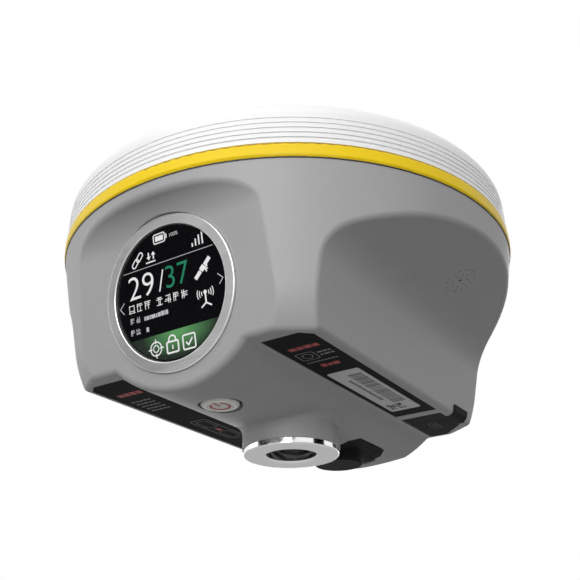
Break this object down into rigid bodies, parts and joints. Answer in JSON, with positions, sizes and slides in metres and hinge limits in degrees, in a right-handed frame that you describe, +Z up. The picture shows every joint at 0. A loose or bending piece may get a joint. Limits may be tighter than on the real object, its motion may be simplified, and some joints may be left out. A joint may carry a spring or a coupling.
{
  "type": "gnss receiver",
  "caption": "Round survey receiver with a ribbed dome, a protective band, a scooped casing with a round screen, a power button, rubber port covers and a threaded pole insert.",
  "frame": {"origin": "centre of the pole insert's bottom face, the antenna reference point", "axes": "+Z up along the pole, out of the dome; -Y is the side with the screen"},
  "size_m": [0.152, 0.152, 0.092],
  "materials": {
    "casing_grey": "satin moulded",
    "dome_white": "semi gloss moulded",
    "band_yellow": "gloss moulded",
    "insert_chrome": "polished",
    "nut_brass": "turned",
    "seal_rubber": "matte",
    "cover_rubber": "matte",
    "bezel_silver": "brushed anodised",
    "lens_glass": "polished",
    "panel_dark": "display",
    "button_pearl": "pearl paint",
    "label_black": "printed foil",
    "sticker_white": "printed paper",
    "board_green": "solder mask",
    "module_shield": "tinned",
    "screw_steel": "zinc plated",
    "standoff_brass": "turned",
    "connector_steel": "pressed",
    "bracket_steel": "pressed",
    "plate_aluminium": "milled",
    "patch_ceramic": "fired",
    "tray_black": "moulded",
    "cell_wrap": "shrink wrap",
    "speaker_black": "moulded",
    "switch_black": "moulded",
    "ribbon_amber": "film",
    "coax_brown": "jacket"
  },
  "bodies": {
    "receiver": {"antenna_coax": "coax_brown", "antenna_connector": "standoff_brass", "antenna_patch_high": "patch_ceramic", "antenna_patch_low": "patch_ceramic", "antenna_plate": "plate_aluminium", "battery_cells": "cell_wrap", "battery_tray": "tray_black", "board_screws": "screw_steel", "board_standoffs": "standoff_brass", "bracket_screws": "screw_steel", "bumper_ring": "band_yellow", "button_board": "board_green", "button_board_screws": "screw_steel", "button_seal": "seal_rubber", "casing_screws": "screw_steel", "casing_seal": "seal_rubber", "display_bracket": "bracket_steel", "display_panel": "panel_dark", "display_ribbon": "ribbon_amber", "gnss_module": "module_shield", "insert_nut": "nut_brass", "label_sticker": "sticker_white", "left_label": "label_black", "lna_shield": "module_shield", "lower_casing": "casing_grey", "mainboard": "board_green", "pole_insert": "insert_chrome", "power_switch": "switch_black", "radio_module": "module_shield", "rear_cover_pin": "screw_steel", "rear_cover_shoulders": "cover_rubber", "right_label": "label_black", "screen_bezel": "bezel_silver", "screen_gasket": "seal_rubber", "screen_lens": "lens_glass", "speaker": "speaker_black", "speaker_gasket": "seal_rubber", "tray_screws": "screw_steel", "upper_dome": "dome_white", "usb_board": "board_green", "usb_board_screws": "screw_steel", "usb_connector": "connector_steel", "usb_cover_pin": "screw_steel"},
    "button": {"power_button": "button_pearl"},
    "port_cover": {"usb_cover": "cover_rubber"},
    "socket_cover": {"rear_cover": "cover_rubber"}
  },
  "joints": [
    {"name": "button_press", "type": "slide", "parent": "receiver", "child": "button", "axis": [0, 0, 1], "range_m": [0, 0.0008], "stiffness_N_per_m": 500},
    {"name": "usb_cover_hinge", "type": "hinge", "parent": "receiver", "child": "port_cover", "pos_m": [0.0257, 0.0435, 0.0164], "axis": [0, 1, 0], "range_deg": [0, 95]},
    {"name": "rear_cover_hinge", "type": "hinge", "parent": "receiver", "child": "socket_cover", "pos_m": [0, 0.0422, 0.009], "axis": [1, 0, 0], "range_deg": [0, 85]}
  ]
}
